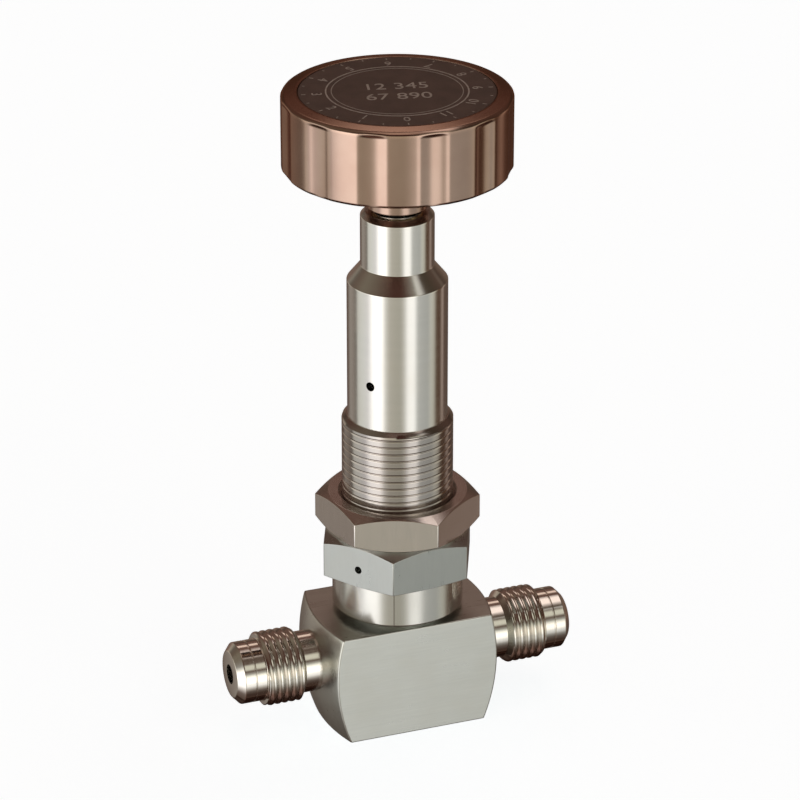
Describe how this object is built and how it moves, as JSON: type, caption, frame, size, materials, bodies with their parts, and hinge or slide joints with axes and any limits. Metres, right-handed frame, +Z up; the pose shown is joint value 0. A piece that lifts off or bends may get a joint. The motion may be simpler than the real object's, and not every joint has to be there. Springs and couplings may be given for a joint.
{
  "type": "bellows valve",
  "caption": "Bellows-sealed shut-off valve: square body with threaded side ports, threaded panel-mount bonnet with hexagon nuts, and a fluted round hand knob.",
  "frame": {"origin": "on the underside of the body, under the stem's axis", "axes": "+Z up the stem towards the knob, +X along the ports towards the outlet"},
  "size_m": [0.0678, 0.0422, 0.126],
  "materials": {
    "body_steel": "brushed along the ports",
    "bonnet_steel": "turned, satin",
    "nut_steel": "machined, satin",
    "panel_nut_steel": "machined, warm tint",
    "inner_steel": "ground",
    "brass": "turned",
    "knob_moulding": "glossy dark red-brown moulding",
    "knob_plate": "dark plate with pale printed ticks",
    "tip_plastic": "white fluoropolymer",
    "wiper_rubber": "black"
  },
  "bodies": {
    "root": {"valve_body": "body_steel", "bonnet_gasket": "inner_steel", "bonnet_collar": "bonnet_steel", "bonnet_housing": "bonnet_steel", "union_nut": "nut_steel", "bellows": "inner_steel", "bellows_top_ring": "inner_steel", "spindle_guide": "brass", "guide_pin": "inner_steel", "drive_nut": "brass", "stem_wiper": "wiper_rubber"},
    "spindle": {"spindle": "inner_steel", "bellows_foot_ring": "inner_steel", "tip_holder": "inner_steel", "seat_tip": "tip_plastic", "coupling_plug": "inner_steel", "coupling_cap": "inner_steel", "thrust_disc": "inner_steel", "thrust_ball": "inner_steel"},
    "handle": {"drive_stem": "inner_steel", "slip_washer": "inner_steel", "knob": "knob_moulding", "knob_insert": "inner_steel", "knob_washer": "inner_steel", "knob_screw": "inner_steel", "knob_disc": "knob_plate"},
    "panel_nut": {"panel_nut": "panel_nut_steel"}
  },
  "joints": [
    {"name": "spindle_lift", "type": "slide", "parent": "root", "child": "spindle", "axis": [0, 0, 1], "range_m": [0, 0.00187], "deforming": ["bellows"]},
    {"name": "handle_turn", "type": "hinge", "parent": "spindle", "child": "handle", "pos_m": [0, 0, 0], "axis": [0, 0, 1], "range_deg": [0, 540]},
    {"name": "panel_nut_travel", "type": "slide", "parent": "root", "child": "panel_nut", "axis": [0, 0, 1], "range_m": [0, 0.0153]}
  ],
  "couplings": [
    {"joint": "handle_turn", "follows": "spindle_lift", "rad_per_m": 5026.5}
  ]
}
